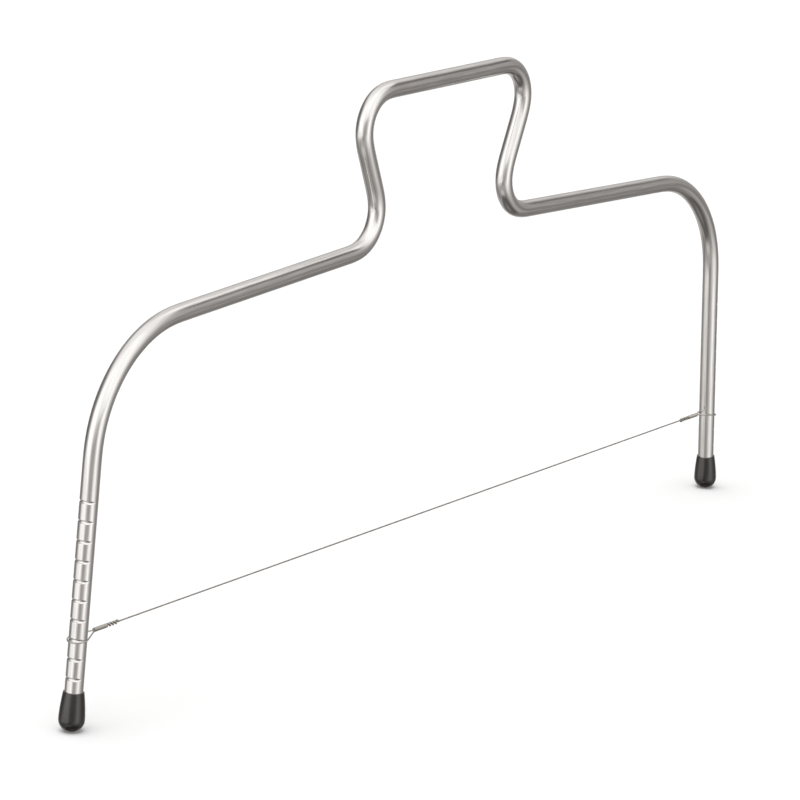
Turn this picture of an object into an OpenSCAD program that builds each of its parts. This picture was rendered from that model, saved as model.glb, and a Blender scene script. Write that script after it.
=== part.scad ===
// Wire cake leveler: a bent steel rod frame with notched legs, a cutting wire whose
// looped ends hook round the legs, and two rubber end caps that it stands on.
// It stands upright in the XZ plane, on the floor z = 0, centred on x = 0 and y = 0.

/* [Frame] */
// Diameter of the steel rod
rod_d = 5; // [4:0.5:6]
// Distance between the points where the legs' lines meet the shoulders' lines
corner_span = 300; // [280:5:340]
// Height of those points above the floor
corner_h = 105; // [100:1:120]
// Outward lean of each leg, in degrees
splay = 4.5; // [1:0.5:6]
// Rise of each shoulder from the leg to the handle
shoulder_rise = 6; // [2:0.5:8]
// Distance between the points where the shoulders' lines meet the handle's necks
neck_span = 52; // [48:1:60]
// Distance between the handle's top corners
grip_span = 89; // [85:1:96]
// Height of the handle's bar above the leg corners
grip_rise = 50; // [48:1:56]
// Bend radius from leg to shoulder, to the middle of the rod
leg_bend_r = 35; // [25:1:38]
// Bend radius from shoulder to neck, to the middle of the rod
neck_bend_r = 11; // [9:0.5:12]
// Bend radius from neck to bar, to the middle of the rod
grip_bend_r = 10.5; // [9:0.5:12]
// How much thinner bending draws the rod
bend_thinning = 0.04; // [0.03:0.01:0.1]

/* [Notches] */
// Number of notches in the outer side of each leg
notch_count = 10; // [6:1:10]
// Height of the lowest notch above the floor
notch_low_h = 14.5; // [13:0.5:18]
// Height from one notch to the next
notch_pitch = 5.3; // [4.5:0.1:5.5]
// Width of a notch at the rod's surface
notch_w = 0.8; // [0.5:0.1:1]
// Depth of a notch in the middle of the leg's outer side
notch_depth = 0.4; // [0.2:0.05:0.5]
// Angle round the leg, to either side, at which a notch runs out
notch_reach = 75; // [50:5:80]

/* [Feet] */
// Largest diameter of a rubber end cap
foot_d = 7.1; // [6.6:0.1:8]
// Diameter of the cap at its rim
foot_rim_d = 5.7; // [5.6:0.1:6.2]
// Height of the cap's rim above the middle of its round end
foot_rise = 7.5; // [6:0.5:9]
// How much of the cap's round end is worn flat where it stands
foot_flat = 0.25; // [0.1:0.05:0.4]
// Thickness of rubber under the end of the rod
foot_floor = 3; // [2:0.5:4]

/* [Cutting wire] */
// Diameter of the cutting wire
wire_d = 0.4; // [0.3:0.05:0.5]
// Notch that the wire is hooked in, counted from the lowest
wire_notch = 3; // [1:1:10]
// Radius of the wire's loop round the leg, to the middle of the wire
loop_r = 2.82; // [2.8:0.01:3]
// Distance from the leg's middle to the point where the loop closes
loop_reach = 6.3; // [5.5:0.1:7]
// Upward tilt of the loop towards the wire, in degrees
loop_tilt = 8; // [0:1:8]
// Length of the stretch where the wire's end is wound back round the wire
twist_l = 10; // [9:0.5:12]
// Outer diameter of that stretch
twist_d = 1.1; // [1:0.05:1.3]
// Gap all round between the wire and the turns wound on it
twist_gap = 0.05; // [0.03:0.01:0.08]
// How far the wire reaches into the turns
wire_grip = 6; // [5:0.5:6.5]

/* [Hidden] */
$fn = 96;

rod_r = rod_d / 2;

// The frame's left half as points [x, z]: rod end, leg corner, neck foot, grip corner
foot_mid_h = foot_d / 2 - foot_flat;
rod_end_h = foot_floor;
corner_x = corner_span / 2;
function leg_x(h) = corner_x + (corner_h - h) * tan(splay);
path = [
    [-leg_x(rod_end_h), rod_end_h],
    [-corner_x, corner_h],
    [-neck_span / 2, corner_h + shoulder_rise],
    [-grip_span / 2, corner_h + grip_rise],
    [0, corner_h + grip_rise],
];
bend_r = [0, leg_bend_r, neck_bend_r, grip_bend_r, 0];

// Heading of each straight, the turn at each corner and how far the bend reaches from it
function heading(i) = atan2(path[i + 1][1] - path[i][1], path[i + 1][0] - path[i][0]);
function turn(i) = heading(i) - heading(i - 1);
function bend_reach(i) = bend_r[i] * tan(abs(turn(i)) / 2);
function along(i, d, a) = path[i] + d * [cos(a), sin(a)];
function bend_start(i) = i == 0 ? path[0] : along(i, -bend_reach(i), heading(i - 1));
function bend_end(i) = i == 0 ? path[0] : along(i, bend_reach(i), heading(i));

// Each bend runs this far into the straights beside it
bend_lap = 0.2;
function lap_angle(i) = bend_lap / bend_r[i] * 180 / PI;

// The notch cutter is a ring set off towards the frame's middle, so its cut runs out
notch_offset = notch_depth / (1 - cos(notch_reach));
notch_ring_r = rod_r + notch_w / 2 - notch_depth + notch_offset;
function notch_h(n) = notch_low_h + (n - 1) * notch_pitch;

// The loop leaves the leg's ring on two straights that meet at loop_reach
loop_h = notch_h(wire_notch);
loop_open = acos(loop_r / loop_reach);
wire_h = loop_h + loop_reach * sin(loop_tilt);
twist_x = leg_x(loop_h) - loop_reach * cos(loop_tilt);
plug_l = 0.8;

// Rounded foot profile as [radius, height] from the middle of the round end
foot_bulge = 1.6;
foot_socket = foot_mid_h - foot_floor;
foot_r = foot_d / 2;
function foot_side_r(t) = foot_r - (foot_r - foot_rim_d / 2) * pow(t, foot_bulge);
foot_profile = concat(
    [for (a = [-90:10:-10]) foot_r * [cos(a), sin(a)]],
    [for (t = [0:0.125:1]) [foot_side_r(t), t * foot_rise]],
    [[rod_r, foot_rise], [rod_r, -foot_socket], [0, -foot_socket]]
);

// Draws in the XZ plane what is drawn in the XY plane
module upright() {
    rotate([90, 0, 0]) children();
}

module straight(a, b) {
    translate([a[0], a[1], 0])
        rotate([0, 90, atan2(b[1] - a[1], b[0] - a[0])])
            cylinder(d = rod_d, h = norm(b - a));
}

module bend(i) {
    side = sign(turn(i));
    centre = bend_start(i) + side * bend_r[i] * [-sin(heading(i - 1)), cos(heading(i - 1))];
    first = side > 0 ? heading(i - 1) - 90 : heading(i) + 90;
    translate([centre[0], centre[1], 0])
        rotate([0, 0, first - lap_angle(i)])
            rotate_extrude(angle = abs(turn(i)) + 2 * lap_angle(i))
                translate([bend_r[i], 0])
                    circle(d = rod_d - bend_thinning);
}

module half_frame() {
    upright() {
        for (i = [0:2]) straight(bend_end(i), bend_start(i + 1));
        for (i = [1:3]) bend(i);
    }
}

module notch_cutter(n) {
    h = notch_h(n);
    translate([-leg_x(h), 0, h])
        rotate([0, splay, 0])
            translate([notch_offset, 0, 0])
                rotate_extrude()
                    translate([notch_ring_r, 0])
                        circle(d = notch_w);
}

module frame() {
    color("silver")
        difference() {
            union() {
                for (side = [0, 1]) mirror([side, 0, 0]) half_frame();
                upright() straight(bend_end(3), [-bend_end(3)[0], bend_end(3)[1]]);
            }
            for (side = [0, 1])
                mirror([side, 0, 0])
                    for (n = [1:notch_count]) notch_cutter(n);
        }
}

module foot() {
    color([0.13, 0.13, 0.12])
        difference() {
            translate([-leg_x(foot_mid_h), 0, foot_mid_h])
                rotate([0, splay, 0])
                    rotate_extrude()
                        polygon(foot_profile);
            translate([-leg_x(0) - foot_d, -foot_d, -foot_d])
                cube([2 * foot_d, 2 * foot_d, foot_d]);
        }
}

module left_foot() {
    foot();
}

module right_foot() {
    mirror([1, 0, 0]) foot();
}

module cutting_wire() {
    half_l = twist_x - twist_l + wire_grip;
    color("lightgray")
        translate([-half_l, 0, wire_h])
            rotate([0, 90, 0])
                cylinder(d = wire_d, h = 2 * half_l);
}

// The ring round the leg and its two straights, in the loop's own plane
module eye() {
    rotate([0, 0, loop_open])
        rotate_extrude(angle = 360 - 2 * loop_open)
            translate([loop_r, 0])
                circle(d = wire_d);
    for (side = [-1, 1])
        rotate([0, 0, side * loop_open])
            translate([loop_r, 0, 0])
                rotate([side * 90, 0, 0])
                    cylinder(d = wire_d, h = loop_reach * sin(loop_open));
}

module wire_loop() {
    color("darkgray") {
        translate([-leg_x(loop_h), 0, loop_h])
            rotate([0, -loop_tilt, 0])
                eye();
        translate([-twist_x, 0, wire_h])
            rotate([0, 90, 0])
                difference() {
                    cylinder(d = twist_d, h = twist_l);
                    translate([0, 0, plug_l])
                        cylinder(d = wire_d + 2 * twist_gap, h = twist_l);
                }
    }
}

module left_wire_loop() {
    wire_loop();
}

module right_wire_loop() {
    mirror([1, 0, 0]) wire_loop();
}

frame();
left_foot();
right_foot();
cutting_wire();
left_wire_loop();
right_wire_loop();
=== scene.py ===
import math

import bpy
from mathutils import Matrix, Vector


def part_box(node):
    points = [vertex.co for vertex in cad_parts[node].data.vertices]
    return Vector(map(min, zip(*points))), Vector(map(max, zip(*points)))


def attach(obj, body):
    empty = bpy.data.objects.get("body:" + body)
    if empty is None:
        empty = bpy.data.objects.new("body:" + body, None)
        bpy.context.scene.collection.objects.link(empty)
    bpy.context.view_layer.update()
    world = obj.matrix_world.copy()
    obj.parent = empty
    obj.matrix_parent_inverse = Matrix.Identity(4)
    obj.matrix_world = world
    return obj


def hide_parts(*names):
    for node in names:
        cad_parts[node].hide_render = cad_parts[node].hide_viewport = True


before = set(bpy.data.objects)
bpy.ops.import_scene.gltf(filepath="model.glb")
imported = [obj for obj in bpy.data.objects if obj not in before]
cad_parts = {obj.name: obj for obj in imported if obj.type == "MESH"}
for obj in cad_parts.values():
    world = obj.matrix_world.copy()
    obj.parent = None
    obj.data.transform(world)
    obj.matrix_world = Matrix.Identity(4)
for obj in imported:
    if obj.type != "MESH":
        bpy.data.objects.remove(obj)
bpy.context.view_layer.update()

# Lengths are in metres
MM = 0.001

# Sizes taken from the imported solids
ROD_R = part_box("frame")[1].y
WIRE_LOW, WIRE_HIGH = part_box("cutting_wire")
WIRE_R = WIRE_HIGH.y
WIRE_H = (WIRE_LOW.z + WIRE_HIGH.z) / 2
WIRE_HALF = WIRE_HIGH.x
FOOT_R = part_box("left_foot")[1].y

# The bent rod: legs, shoulders, handle
CORNER_X = 150 * MM
CORNER_H = 105 * MM
SPLAY = math.radians(4.5)
NECK_X = 26 * MM
SHOULDER_RISE = 6 * MM
GRIP_X = 44.5 * MM
GRIP_RISE = 50 * MM
BEND_RADII = (35 * MM, 11 * MM, 10.5 * MM)
ROD_END_H = 3 * MM
ROD_SIDES = 72
STRAIGHT_STEP = 3 * MM
BEND_STEP = 0.5 * MM
HEADING_REACH = 0.1 * MM
SHARP_ANGLE = math.radians(40)

# Bends begin and end gradually over this length
BEND_EASE = 3.5 * MM
BEND_EASE_STEP = BEND_EASE / 6
BEND_EASE_SHARES = (0.25, 0.5, 0.75, 1)

# Notches cut by a ring set off towards the frame's middle
NOTCH_COUNT = 10
NOTCH_LOW_H = 14.5 * MM
NOTCH_PITCH = 5.3 * MM
NOTCH_R = 0.4 * MM
NOTCH_DEPTH = 0.4 * MM
NOTCH_REACH = math.radians(75)
NOTCH_OFFSET = NOTCH_DEPTH / (1 - math.cos(NOTCH_REACH))
NOTCH_RING_R = ROD_R + NOTCH_R - NOTCH_DEPTH + NOTCH_OFFSET
NOTCH_LIP = 0.1 * MM

# Distances of the rod's rings from the middle of a notch
NOTCH_RINGS = tuple(off * MM for off in (0, 0.1, 0.2, 0.27, 0.31, 0.35, 0.39, 0.42, 0.46, 0.5, 0.6))

# Rubber end caps
FOOT_FLAT = 0.25 * MM
FOOT_MID_H = FOOT_R - FOOT_FLAT
FOOT_RISE = 7.5 * MM
FOOT_RIM_R = 2.85 * MM
FOOT_BULGE = 1.6
FOOT_LIP_R = 0.12 * MM
FOOT_SIDES = 96
FOOT_END_STEP = math.radians(4)
FOOT_WALL_STEP = 0.04
FOOT_LIP_STEP = math.radians(15)

# The cap's inner wall: how far it lies inside the rod's surface, and its steps from rim and end
SOCKET_TUCK = 0.04 * MM
SOCKET_EDGE = 0.02 * MM
SOCKET_INSET = 0.1 * MM

# The wire and its hooked ends
WIRE_SIDES = 14
WIRE_STEP = 2 * MM
WIRE_SHARP_ANGLE = math.radians(60)
WIRE_NOTCH = 3
LOOP_R = 2.82 * MM
LOOP_REACH = 6.3 * MM
LOOP_TILT = math.radians(8)
LOOP_OPEN = math.acos(LOOP_R / LOOP_REACH)
LOOP_STEP = math.radians(7)

# The loop's two straights, as shares of the way from and to the point where it closes
LEAVING_FROM = 0.08
COMING_TO = 0.9
SHARE_STEP = 0.15

# The end wound back round the wire: close turns, then open ones and a lifted tail
WOUND_L = 10 * MM
WOUND_R = 2.05 * WIRE_R
CLOSE_PITCH = 2.15 * WIRE_R
CLOSE_TURNS = 12
OPEN_TURNS = 4
TURN_POINTS = 20
TAIL_TURNS = 0.5
TAIL_LIFT = 0.18 * MM
CORE_L = 1 * MM
CORE_SHARES = (1, 0.5, 0.1)

# Drawn steel: two colours, a range of roughness, the drawing lines' width, length and depth
ROD_FINISH = dict(
    light=(0.86, 0.845, 0.825), dark=(0.73, 0.71, 0.69), smoothest=0.12, roughest=0.22,
    line_w=0.2 * MM, line_l=16 * MM, line_depth=0.0016 * MM, wave_depth=0.012 * MM,
)
# The wire's colours are a darker, browner copy of the rod's steel: painted shade for the thin wire and
# a painted warm reflection. The change between its two colours along the lines is the steel's own.
WIRE_STEEL_WITH_PAINTED_SHADE = dict(
    light=(0.58, 0.55, 0.51), dark=(0.44, 0.42, 0.39), smoothest=0.16, roughest=0.3,
    line_w=0.05 * MM, line_l=3 * MM, line_depth=0.0012 * MM, wave_depth=0,
)
LINE_DETAIL = 3
LINE_ROUGHNESS = 0.6
STREAK_WIDTHS = 2.5
STREAK_LENGTHS = 0.6
WAVE_W = 1.6 * ROD_R
WAVE_L = 8 * ROD_R
WAVE_DETAIL = 1

# Moulded rubber: colours, noise per metre, and what is the same all over
RUBBER_DARK = (0.005, 0.0045, 0.004)
RUBBER_PALE = (0.009, 0.008, 0.007)
SOLE_COLOUR = (0.11, 0.105, 0.1)
SOLE_H = 0.5 * MM
GRAIN_SCALE = 9000
GRAIN_DETAIL = 2
GRAIN_DEPTH = 0.005 * MM
CLOUD_SCALE = 700
CLOUD_DETAIL = 3
RUBBER_ROUGHNESS = (0.14, 0.22)
RUBBER_SHADER = {
    "IOR": 1.55,
    "Specular IOR Level": 0.6,
    "Specular Tint": (1, 0.97, 0.93, 1),
    "Coat Weight": 0.6,
    "Coat Roughness": 0.1,
}

# Stretches of a noise's values that are spread over a whole range
NOISE_MIDDLE = (0.35, 0.65)
NOISE_MOST = (0.3, 0.7)

# Places of the Mix node's sockets, because they share their names
MIX_FACTOR = 0
MIX_NUMBERS = (2, 3)
MIX_COLOURS = (6, 7)
MIX_NUMBER_OUT = 0
MIX_COLOUR_OUT = 2

# The camera, where the photograph was taken from
CAMERA_AT = Vector((-920.4, -640.3, 364.8)) * MM
CAMERA_TARGET = Vector((-15.5, 0.14, 62.78)) * MM
CAMERA_ROLL = math.radians(2.79)
CAMERA_LENS = 180
CAMERA_SENSOR = 36
CAMERA_CLIP_END = 20

# Light on what is matt, and the floor
SUN_STRENGTH = 2.05
SUN_ANGLE = math.radians(60)
SUN_FROM = Vector((-0.15, 0.05, 1))
SKY_COLOUR = (1, 0.995, 0.99, 1)
SKY_STRENGTH = 0.44
WHITE = (1, 1, 1, 1)
FLOOR_SIZE = 8
FLOOR_ALBEDO = 0.9
FLOOR_GLOW = 0.08

# What polished metal sees between the panels: brightness by elevation in degrees
ROOM_STOPS = (
    (-90, 0.2), (-70, 0.1), (-55, 0.1), (-45, 0.25), (-30, 0.35),
    (0, 0.28), (30, 0.28), (45, 0.65), (60, 0.82), (90, 0.82),
)
ROOM_TINT = (1, 0.945, 0.91)
STUDIO_GAIN = 1.26

# Panels round the object, in degrees: azimuth (0 is the front, 90 the right) with its half width
# and softness, elevation with its half height and softness, then brightness
PANELS = (
    ("left window", -105, 25, 35, 15, 35, 5, 1.25),
    ("front card", -5, 25, 50, 5, 30, 35, 1.1),
    ("softbox overhead", -50, 80, 80, 60, 50, 60, 1),
    ("strip above the right", 95, 30, 15, 65, 25, 8, 0.87),
    ("card behind the right", 120, 22, 15, 40, 25, 50, 0.62),
    ("gap beside the window", -35, 10, 70, 0, 15, 10, 0.21),
    ("dark table behind", 135, 75, 15, -40, 20, 15, 0.18),
    ("low card behind", 145, 35, 25, -35, 10, 20, 0.5),
    ("low strip on the left", -115, 30, 50, -14, 9, 14, 0.85),
    ("dark room behind", -178, 22, 30, 5, 20, 15, 0.12),
    ("dark room on the right", 65, 18, 20, -10, 10, 10, 0.2),
    ("dark strip above it", 70, 15, 15, 33, 6, 5, 0.13),
    ("dark gap under the window", -70, 10, 20, -22, 4, 8, 0.16),
    ("glow on the table's left", -85, 30, 30, -45, 6, 12, 0.55),
    ("glow on the table behind", -160, 30, 40, -55, 5, 15, 0.35),
)


# Measures and small helpers

def leg_x(h):
    """Distance of the leg's middle from the frame's middle at a height."""
    return CORNER_X + (CORNER_H - h) * math.tan(SPLAY)


def notch_h(n):
    """Height of a notch, counted from 1 at the bottom."""
    return NOTCH_LOW_H + (n - 1) * NOTCH_PITCH


def heading(a, b):
    """Angle of the way from one (x, z) to another."""
    return math.atan2(b[1] - a[1], b[0] - a[0])


def toward(angle):
    """The unit step (x, z) in a heading."""
    return Vector((math.cos(angle), math.sin(angle)))


def evenly(start, end, step):
    """Values from start to end, both included, at most a step apart."""
    parts = max(1, math.ceil(abs(end - start) / step))
    return [start + (end - start) * i / parts for i in range(parts + 1)]


def circle_angles(sides, way=1):
    """Angles once round, forwards or with way -1 backwards."""
    return [way * 2 * math.pi * k / sides for k in range(sides)]


def mesh_piece(name, verts, faces, sharp=SHARP_ANGLE):
    """A smooth object in the scene, with edges kept where its faces meet sharply."""
    mesh = bpy.data.meshes.new(name)
    mesh.from_pydata(verts, [], faces)
    mesh.shade_smooth()
    mesh.set_sharp_from_angle(angle=sharp)
    mesh.validate()
    piece = bpy.data.objects.new(name, mesh)
    bpy.context.scene.collection.objects.link(piece)
    return piece


def tube_faces(rings, sides):
    """Quads between rings of vertices that follow one another, with a fan at each end."""
    faces = []
    for i in range(rings - 1):
        for k in range(sides):
            a = i * sides + k
            b = i * sides + (k + 1) % sides
            faces.append((a, b, b + sides, a + sides))
    first = rings * sides
    last = first + 1
    top = (rings - 1) * sides
    for k in range(sides):
        faces.append((first, (k + 1) % sides, k))
        faces.append((last, top + k, top + (k + 1) % sides))
    return faces


def store_straight(piece, places):
    """Keeps each vertex's place on the rod or wire as it was before bending, for the lines."""
    attribute = piece.data.attributes.new("straight", "FLOAT_VECTOR", "POINT")
    attribute.data.foreach_set("vector", [c for place in places for c in place])


# The bent rod

def rod_segments():
    """The rod's left half as (length so far, start, heading, signed bend radius), and its length."""
    corners = [
        (-leg_x(ROD_END_H), ROD_END_H),
        (-CORNER_X, CORNER_H),
        (-NECK_X, CORNER_H + SHOULDER_RISE),
        (-GRIP_X, CORNER_H + GRIP_RISE),
        (0, CORNER_H + GRIP_RISE),
    ]
    ways = [heading(a, b) for a, b in zip(corners, corners[1:])]
    segments = []
    at = Vector(corners[0])
    length = 0
    for end, way, next_way, radius in zip(corners[1:], ways, ways[1:], BEND_RADII):
        turn = next_way - way
        reach = radius * math.tan(abs(turn) / 2)
        segments.append((length, at, way, 0))
        straight = (Vector(end) - at).length - reach
        length += straight
        segments.append((length, at + straight * toward(way), way, math.copysign(radius, turn)))
        length += radius * abs(turn)
        at = Vector(end) + reach * toward(next_way)
    segments.append((length, at, ways[-1], 0))
    return segments, length + (Vector(corners[-1]) - at).length


def rod_centre(segments, s):
    """The middle of the rod at a length from its end, as (x, z)."""
    start, at, way, radius = [seg for seg in segments if seg[0] <= max(s, 0)][-1]
    gone = s - start
    if not radius:
        return at + gone * toward(way)
    now = way + gone / radius
    return at + radius * Vector((math.sin(now) - math.sin(way), math.cos(way) - math.cos(now)))


def eased_centre(segments, s):
    """The same place, with bends that begin and end gradually."""
    offsets = evenly(-BEND_EASE, BEND_EASE, BEND_EASE_STEP)
    near = [rod_centre(segments, s + off) for off in offsets]
    return sum(near, Vector((0, 0))) / len(near)


def half_path_stations():
    """Places along the rod's left half as (x, z, heading, length so far), and the notches' lengths."""
    segments, total = rod_segments()
    notches = [(notch_h(n + 1) - ROD_END_H) / math.cos(SPLAY) for n in range(NOTCH_COUNT)]
    ends = [seg[0] for seg in segments[1:]] + [total]
    marks = []
    for (start, _, _, radius), end in zip(segments, ends):
        if radius:
            marks += evenly(start, end, BEND_STEP)
        elif start:
            marks += evenly(start, start + BEND_EASE, BEND_STEP)
            marks += evenly(start + BEND_EASE, end, STRAIGHT_STEP)
        else:
            marks += evenly(start, end, STRAIGHT_STEP)
    clear = [m for m in marks if min(abs(m - n) for n in notches) > NOTCH_RINGS[-1]]
    cuts = [n + side * off for n in notches for off in NOTCH_RINGS for side in (-1, 1)]
    before_bends = [end - BEND_EASE * share for end in ends[:-1:2] for share in BEND_EASE_SHARES]
    stations = []
    for s in sorted({round(m, 7) for m in clear + cuts + before_bends}):
        behind, ahead = (eased_centre(segments, s + d) for d in (-HEADING_REACH, HEADING_REACH))
        stations.append((*eased_centre(segments, s), heading(behind, ahead), s))
    return stations, notches


def notched_radius(angle, off):
    """Radius of the leg at an angle from its outer side, so far along it from a notch's middle."""
    if off >= NOTCH_R + NOTCH_LIP:
        return ROD_R
    inner = min(off, NOTCH_R - NOTCH_LIP)
    cutter = NOTCH_RING_R - math.sqrt(NOTCH_R ** 2 - inner ** 2)
    beside = cutter ** 2 - (NOTCH_OFFSET * math.sin(angle)) ** 2
    cut = min(ROD_R, math.sqrt(beside) - NOTCH_OFFSET * math.cos(angle))
    if off <= inner:
        return cut
    t = (off - inner) / (2 * NOTCH_LIP)
    return cut + (ROD_R - cut) * t * t * (3 - 2 * t)


def steel_rod():
    """The whole rod with its notches, swept from the end of the left leg to that of the right."""
    left, notches = half_path_stations()
    half_l = left[-1][3]
    right = [(-x, z, -a, 2 * half_l - s) for x, z, a, s in reversed(left[:-1])]
    verts = []
    straight = []
    for x, z, a, s in left + right:
        middle = Vector((x, 0, z))
        outward = Vector((-math.sin(a), 0, math.cos(a)))
        from_end = min(s, 2 * half_l - s)
        off = min(abs(from_end - n) for n in notches)
        for angle in circle_angles(ROD_SIDES, -1):
            r = notched_radius(angle, off)
            sideways = Vector((0, math.sin(angle), 0))
            verts.append(middle + r * (math.cos(angle) * outward + sideways))
            straight.append((r * math.cos(angle), r * math.sin(angle), s))
    for x, z, _, s in (left[0], right[-1]):
        verts.append(Vector((x, 0, z)))
        straight.append((0, 0, s))
    piece = mesh_piece("steel_rod", verts, tube_faces(len(left) + len(right), ROD_SIDES))
    store_straight(piece, straight)
    return piece


# The rubber end caps

def foot_profile():
    """The cap's outline as (radius, height) from the middle of its round end, bottom to socket."""
    end_angles = evenly(-math.pi / 2, 0, FOOT_END_STEP)
    outline = [(FOOT_R * math.cos(a), FOOT_R * math.sin(a)) for a in end_angles]
    lip_h = FOOT_RISE - FOOT_LIP_R
    for t in evenly(0, 1, FOOT_WALL_STEP)[1:]:
        outline.append((FOOT_R - (FOOT_R - FOOT_RIM_R) * t ** FOOT_BULGE, t * lip_h))
    lip_mid = FOOT_RIM_R - FOOT_LIP_R
    for a in evenly(0, math.pi / 2, FOOT_LIP_STEP)[1:]:
        outline.append((lip_mid + FOOT_LIP_R * math.cos(a), lip_h + FOOT_LIP_R * math.sin(a)))
    socket_r = ROD_R - SOCKET_TUCK
    outline.append((ROD_R, FOOT_RISE - SOCKET_EDGE))
    outline.append((socket_r, FOOT_RISE - SOCKET_INSET))
    outline.append((socket_r, ROD_END_H - FOOT_MID_H + SOCKET_INSET))
    return outline


def end_cap(name, side):
    """A rubber cap on the rod's end, turned round the leg's own axis and worn flat on the floor."""
    profile = foot_profile()[1:]
    lean = Matrix.Rotation(-side * SPLAY, 4, "Y")
    middle = Vector((side * leg_x(FOOT_MID_H), 0, FOOT_MID_H))
    verts = []
    for r, h in profile:
        for angle in circle_angles(FOOT_SIDES, side):
            verts.append(middle + lean @ Vector((r * math.cos(angle), r * math.sin(angle), h)))
    for h in (-FOOT_R, profile[-1][1]):
        verts.append(middle + lean @ Vector((0, 0, h)))
    for v in verts:
        v.z = max(v.z, 0)
    faces = tube_faces(len(profile), FOOT_SIDES)
    if side < 0:
        faces = [tuple(reversed(f)) for f in faces]
    return mesh_piece(name, verts, faces)


# The cutting wire

def swept_wire(name, path, radius):
    """A round wire along points that lie close together, with square-cut ends."""
    points = [Vector(p) for p in path]
    verts = []
    straight = []
    ahead = (points[1] - points[0]).normalized()
    side = ahead.orthogonal().normalized()
    length = 0
    for i, p in enumerate(points):
        before = points[max(i - 1, 0)]
        after = points[min(i + 1, len(points) - 1)]
        turned = (after - before).normalized()
        side = ahead.rotation_difference(turned) @ side
        side = (side - turned * side.dot(turned)).normalized()
        ahead = turned
        across = ahead.cross(side)
        length += (p - before).length
        for angle in circle_angles(WIRE_SIDES):
            verts.append(p + radius * (math.cos(angle) * side + math.sin(angle) * across))
            straight.append((radius * math.cos(angle), radius * math.sin(angle), length))
    verts += [points[0], points[-1]]
    straight += [(0, 0, 0), (0, 0, length)]
    piece = mesh_piece(name, verts, tube_faces(len(points), WIRE_SIDES), WIRE_SHARP_ANGLE)
    store_straight(piece, straight)
    return piece


def winding(start, along, side):
    """The turns of the wire's end round the wire itself, out to its cut tail."""
    total = CLOSE_TURNS + OPEN_TURNS
    close_l = CLOSE_TURNS * CLOSE_PITCH
    open_pitch = (WOUND_L - close_l) / OPEN_TURNS
    points = []
    for i in range(total * TURN_POINTS + 1):
        turns = i / TURN_POINTS
        reach = turns * CLOSE_PITCH
        if turns > CLOSE_TURNS:
            reach = close_l + (turns - CLOSE_TURNS) * open_pitch
        angle = math.pi + 2 * math.pi * turns
        tail_share = max(0, turns - total + TAIL_TURNS) / TAIL_TURNS
        lift = TAIL_LIFT * tail_share ** 2
        radial = Vector((0, math.cos(angle), -side * math.sin(angle)))
        points.append(start + along * reach + (WOUND_R + lift) * radial)
    return points


def hooked_end_path(side):
    """The wire's end: out of its own winding, round the leg and back, then wound on itself."""
    loop_h = notch_h(WIRE_NOTCH)
    loop_mid = Vector((side * leg_x(loop_h), 0, loop_h))
    inward = Vector((-side * math.cos(LOOP_TILT), 0, math.sin(LOOP_TILT)))
    across = Vector((0, 1, 0))
    along = Vector((-side, 0, 0))

    def eye(radius, angle):
        return loop_mid + radius * (math.cos(angle) * inward + math.sin(angle) * across)

    closing = eye(LOOP_REACH, 0)
    leaving = eye(LOOP_R, LOOP_OPEN)
    coming = eye(LOOP_R, -LOOP_OPEN)
    beside = closing - across * WOUND_R
    ring_angles = evenly(LOOP_OPEN, 2 * math.pi - LOOP_OPEN, LOOP_STEP)
    points = [closing + along * (CORE_L * share) for share in CORE_SHARES]
    points += [closing.lerp(leaving, t) for t in evenly(LEAVING_FROM, 1, SHARE_STEP)[:-1]]
    points += [eye(LOOP_R, a) for a in ring_angles]
    points += [coming.lerp(beside, t) for t in evenly(0, COMING_TO, SHARE_STEP)[1:]]
    return points + winding(closing, along, side)


# Shader nodes

def new_material(name):
    """A material with its node tree and its shader."""
    material = bpy.data.materials.new(name)
    material.use_nodes = True
    tree = material.node_tree
    return material, tree, tree.nodes["Principled BSDF"]


def set_inputs(shader, values):
    """Sets what is the same all over a surface on the shader's own sockets."""
    for name, value in values.items():
        shader.inputs[name].default_value = value


def node(tree, kind, inputs=(), **settings):
    """A new node with its settings, and its inputs as values or as other nodes' outputs."""
    made = tree.nodes.new(kind)
    for key, value in settings.items():
        setattr(made, key, value)
    for key, value in dict(inputs).items():
        if isinstance(value, bpy.types.NodeSocket):
            tree.links.new(value, made.inputs[key])
        else:
            made.inputs[key].default_value = value
    return made


def maths(tree, operation, *values):
    """The result of a Math node on values or other nodes' outputs."""
    inputs = dict(enumerate(values))
    return node(tree, "ShaderNodeMath", inputs, operation=operation).outputs["Value"]


def noise(tree, vector, scale, detail, roughness=0.5):
    """Noise of so many grains to a metre."""
    inputs = {"Vector": vector, "Scale": scale, "Detail": detail, "Roughness": roughness}
    return node(tree, "ShaderNodeTexNoise", inputs).outputs["Fac"]


def stretched_noise(tree, vector, across, along, detail, roughness=0.5):
    """Noise whose grains are so many metres wide and long on the straight rod."""
    scale = (1 / across, 1 / across, 1 / along)
    placed = node(tree, "ShaderNodeMapping", {"Vector": vector, "Scale": scale})
    return noise(tree, placed.outputs["Vector"], 1, detail, roughness)


def ranged(tree, value, low, high, to_low, to_high, smooth=False):
    """A value carried from one range over to another, and held at the ends."""
    interpolation = "SMOOTHSTEP" if smooth else "LINEAR"
    inputs = {
        "Value": value,
        "From Min": low,
        "From Max": high,
        "To Min": to_low,
        "To Max": to_high,
    }
    made = node(tree, "ShaderNodeMapRange", inputs, interpolation_type=interpolation)
    return made.outputs["Result"]


def bumped(tree, height, depth, normal=None):
    """A surface normal tilted by a height, on top of another normal if one is given."""
    inputs = {"Height": height, "Distance": depth, "Strength": 1}
    if normal:
        inputs["Normal"] = normal
    return node(tree, "ShaderNodeBump", inputs).outputs["Normal"]


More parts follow.
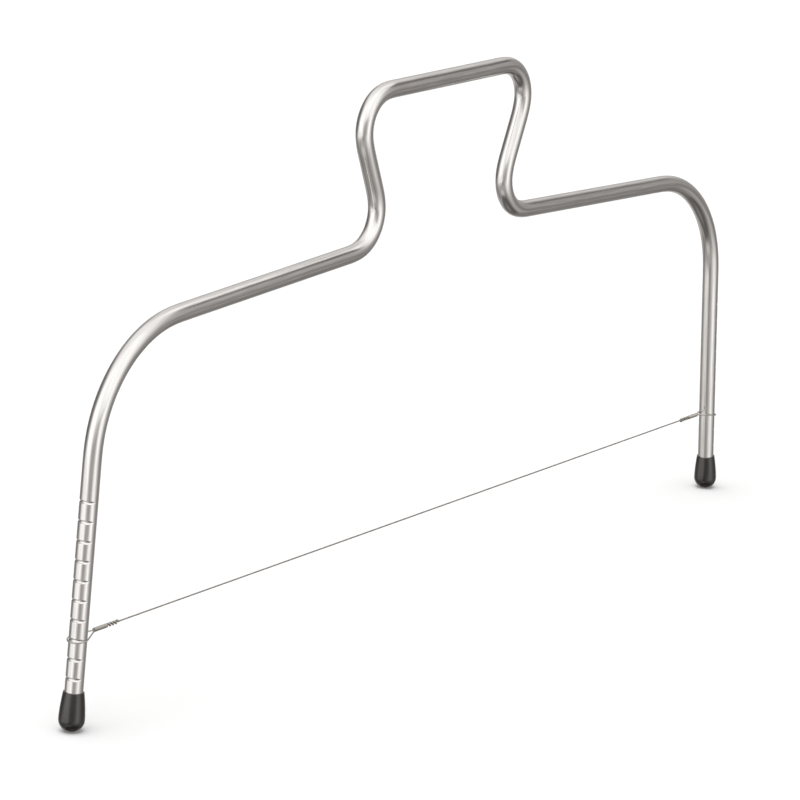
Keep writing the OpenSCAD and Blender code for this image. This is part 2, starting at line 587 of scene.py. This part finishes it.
def mixed_colour(tree, factor, *colours):
    """A colour between two, each an (r, g, b) or another node's output."""
    inputs = {MIX_FACTOR: factor}
    for place, colour in zip(MIX_COLOURS, colours):
        linked = isinstance(colour, bpy.types.NodeSocket)
        inputs[place] = colour if linked else (*colour, 1)
    return node(tree, "ShaderNodeMix", inputs, data_type="RGBA").outputs[MIX_COLOUR_OUT]


def mixed_number(tree, factor, first, second, label):
    """A number between two, on a node with a label."""
    inputs = {MIX_FACTOR: factor, MIX_NUMBERS[0]: first, MIX_NUMBERS[1]: second}
    made = node(tree, "ShaderNodeMix", inputs, data_type="FLOAT", label=label)
    return made.outputs[MIX_NUMBER_OUT]


def mixed_shader(tree, factor, first, second):
    """The first shader where the factor is 0, and the second where it is 1."""
    return node(tree, "ShaderNodeMixShader", {0: factor, 1: first, 2: second}).outputs["Shader"]


def background(tree, colour, strength):
    """Light that comes from far away."""
    inputs = {"Color": colour, "Strength": strength}
    return node(tree, "ShaderNodeBackground", inputs).outputs["Background"]


# Materials

def drawn_steel(name, light, dark, smoothest, roughest, line_w, line_l, line_depth, wave_depth):
    """Polished steel with fine lines along the way it was drawn, and the waves of a bent rod."""
    material, tree, shader = new_material(name)
    straight = node(tree, "ShaderNodeAttribute", attribute_name="straight").outputs["Vector"]
    lines = stretched_noise(tree, straight, line_w, line_l, LINE_DETAIL, LINE_ROUGHNESS)
    streak_w = line_w * STREAK_WIDTHS
    streak_l = line_l * STREAK_LENGTHS
    streaks = stretched_noise(tree, straight, streak_w, streak_l, LINE_DETAIL, LINE_ROUGHNESS)
    waves = stretched_noise(tree, straight, WAVE_W, WAVE_L, WAVE_DETAIL)
    colour = mixed_colour(tree, ranged(tree, streaks, *NOISE_MIDDLE, 0, 1), dark, light)
    roughness = ranged(tree, lines, *NOISE_MOST, smoothest, roughest)
    lined = bumped(tree, lines, line_depth, bumped(tree, waves, wave_depth))
    tree.links.new(colour, shader.inputs["Base Color"])
    tree.links.new(roughness, shader.inputs["Roughness"])
    tree.links.new(lined, shader.inputs["Normal"])
    set_inputs(shader, {"Metallic": 1})
    return material


def moulded_rubber(name):
    """Satin black rubber: a fine grain, cloudy gloss and a scuffed sole."""
    material, tree, shader = new_material(name)
    place = node(tree, "ShaderNodeTexCoord").outputs["Object"]
    grain = noise(tree, place, GRAIN_SCALE, GRAIN_DETAIL)
    clouds = noise(tree, place, CLOUD_SCALE, CLOUD_DETAIL)
    height = node(tree, "ShaderNodeSeparateXYZ", {"Vector": place}).outputs["Z"]
    sole = ranged(tree, height, 0, SOLE_H, 1, 0, True)
    worn = maths(tree, "MULTIPLY", sole, clouds)
    cloudy = ranged(tree, clouds, *NOISE_MOST, 0, 1)
    clean = mixed_colour(tree, cloudy, RUBBER_DARK, RUBBER_PALE)
    roughness = ranged(tree, clouds, *NOISE_MOST, *RUBBER_ROUGHNESS)
    tree.links.new(mixed_colour(tree, worn, clean, SOLE_COLOUR), shader.inputs["Base Color"])
    tree.links.new(maths(tree, "ADD", roughness, worn), shader.inputs["Roughness"])
    tree.links.new(bumped(tree, grain, GRAIN_DEPTH), shader.inputs["Normal"])
    set_inputs(shader, RUBBER_SHADER)
    return material


# What polished surfaces reflect

def soft_window(tree, value, middle, half_width, softness, wraps=False):
    """1 within half the width of the middle, falling smoothly to 0 across the softness."""
    off = maths(tree, "SUBTRACT", value, middle)
    if wraps:
        off = maths(tree, "WRAP", off, 180, -180)
    off = maths(tree, "ABSOLUTE", off)
    return ranged(tree, off, half_width - softness / 2, half_width + softness / 2, 1, 0, True)


def room_level(tree, elevation):
    """Brightness of the room between the panels."""
    ramp = node(tree, "ShaderNodeValToRGB", {"Fac": ranged(tree, elevation, -90, 90, 0, 1)})
    stops = ramp.color_ramp.elements
    stops[0].position = 0
    stops[1].position = 1
    for degrees, _ in ROOM_STOPS[1:-1]:
        stops.new((degrees + 90) / 180)
    for stop, (_, grey) in zip(stops, ROOM_STOPS):
        stop.color = (grey, grey, grey, 1)
    return node(tree, "ShaderNodeRGBToBW", {"Color": ramp.outputs["Color"]}).outputs["Val"]


def studio_shader(tree):
    """What metal and rubber reflect: a pale room with soft white panels, darker below."""
    direction = node(tree, "ShaderNodeTexCoord").outputs["Generated"]
    axes = node(tree, "ShaderNodeSeparateXYZ", {"Vector": direction}).outputs
    front = maths(tree, "MULTIPLY", axes["Y"], -1)
    azimuth = maths(tree, "DEGREES", maths(tree, "ARCTAN2", axes["X"], front))
    elevation = maths(tree, "DEGREES", maths(tree, "ARCSINE", axes["Z"]))
    level = room_level(tree, elevation)
    for label, az, az_half, az_soft, el, el_half, el_soft, brightness in PANELS:
        wide = soft_window(tree, azimuth, az, az_half, az_soft, True)
        high = soft_window(tree, elevation, el, el_half, el_soft)
        share = maths(tree, "MULTIPLY", wide, high)
        level = mixed_number(tree, share, level, brightness, label)
    colour = mixed_colour(tree, level, ROOM_TINT, WHITE[:3])
    return background(tree, colour, maths(tree, "MULTIPLY", level, STUDIO_GAIN))


# The scene round the object

def add_camera():
    """The camera of the photograph's view."""
    data = bpy.data.cameras.new("camera")
    data.lens = CAMERA_LENS
    data.sensor_width = CAMERA_SENSOR
    data.clip_end = CAMERA_CLIP_END
    camera = bpy.data.objects.new("camera", data)
    bpy.context.scene.collection.objects.link(camera)
    aim = (CAMERA_TARGET - CAMERA_AT).to_track_quat("-Z", "Y").to_matrix().to_4x4()
    roll = Matrix.Rotation(CAMERA_ROLL, 4, "Z")
    camera.matrix_world = Matrix.Translation(CAMERA_AT) @ aim @ roll
    bpy.context.scene.camera = camera


def add_world():
    """White to the camera, plain soft light to what is matt, and the studio to what is glossy."""
    world = bpy.data.worlds.new("studio")
    world.use_nodes = True
    tree = world.node_tree
    tree.nodes.clear()
    ray = node(tree, "ShaderNodeLightPath").outputs
    white = background(tree, WHITE, 1)
    sky = background(tree, SKY_COLOUR, SKY_STRENGTH)
    lit = mixed_shader(tree, ray["Is Glossy Ray"], sky, studio_shader(tree))
    clear = maths(tree, "MAXIMUM", ray["Is Camera Ray"], ray["Is Transmission Ray"])
    seen = mixed_shader(tree, clear, lit, white)
    node(tree, "ShaderNodeOutputWorld", {"Surface": seen})
    bpy.context.scene.world = world


def add_sun():
    """One wide soft lamp, which reflections leave out because they have the studio's panels."""
    data = bpy.data.lights.new("soft_sun", "SUN")
    data.energy = SUN_STRENGTH
    data.angle = SUN_ANGLE
    sun = bpy.data.objects.new("soft_sun", data)
    sun.rotation_euler = SUN_FROM.to_track_quat("Z", "Y").to_euler()
    sun.visible_glossy = False
    bpy.context.scene.collection.objects.link(sun)


def add_floor():
    """A pale floor that the camera sees as white where nothing shades it."""
    half = FLOOR_SIZE / 2
    corners = [(-half, -half, 0), (half, -half, 0), (half, half, 0), (-half, half, 0)]
    floor = mesh_piece("floor", corners, [(0, 1, 2, 3)])
    material, tree, shader = new_material("pale_floor")
    set_inputs(shader, {
        "Base Color": (FLOOR_ALBEDO, FLOOR_ALBEDO, FLOOR_ALBEDO, 1),
        "Roughness": 1,
        "Specular IOR Level": 0,
        "Emission Color": WHITE,
    })
    seen = node(tree, "ShaderNodeLightPath").outputs["Is Camera Ray"]
    glow = maths(tree, "MULTIPLY", seen, FLOOR_GLOW)
    tree.links.new(glow, shader.inputs["Emission Strength"])
    floor.data.materials.append(material)
    floor.visible_glossy = False


# The object

def dress(piece, body, slot, material, *nodes):
    """Gives a piece its material and its body, and hides the nodes that it stands for. The slot is not
    used.
    """
    piece.data.materials.append(material)
    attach(piece, body)
    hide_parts(*nodes)


def add_pieces():
    """The rod, a cap and a hooked wire end on each side, and the straight wire."""
    rod_steel = drawn_steel("drawn_rod_steel", **ROD_FINISH)
    # The wire's material has painted shade and a painted warm reflection in its colours
    wire_steel = drawn_steel("drawn_wire_steel_painted_shade", **WIRE_STEEL_WITH_PAINTED_SHADE)
    rubber = moulded_rubber("black_cap_rubber")
    dress(steel_rod(), "frame", "rod_steel", rod_steel, "frame")
    for name, side in (("left", -1), ("right", 1)):
        cap = end_cap(name + "_end_cap", side)
        dress(cap, "frame", "black_rubber", rubber, name + "_foot")
        hook = swept_wire(name + "_hooked_end", hooked_end_path(side), WIRE_R)
        dress(hook, name + "_loop", "wire_steel", wire_steel, name + "_wire_loop")
    stretch = [(x, 0, WIRE_H) for x in evenly(-WIRE_HALF, WIRE_HALF, WIRE_STEP)]
    wire = swept_wire("taut_wire", stretch, WIRE_R)
    dress(wire, "wire", "wire_steel", wire_steel, "cutting_wire")


add_camera()
add_world()
add_sun()
add_floor()
add_pieces()
bpy.context.scene.view_settings.view_transform = "Standard"
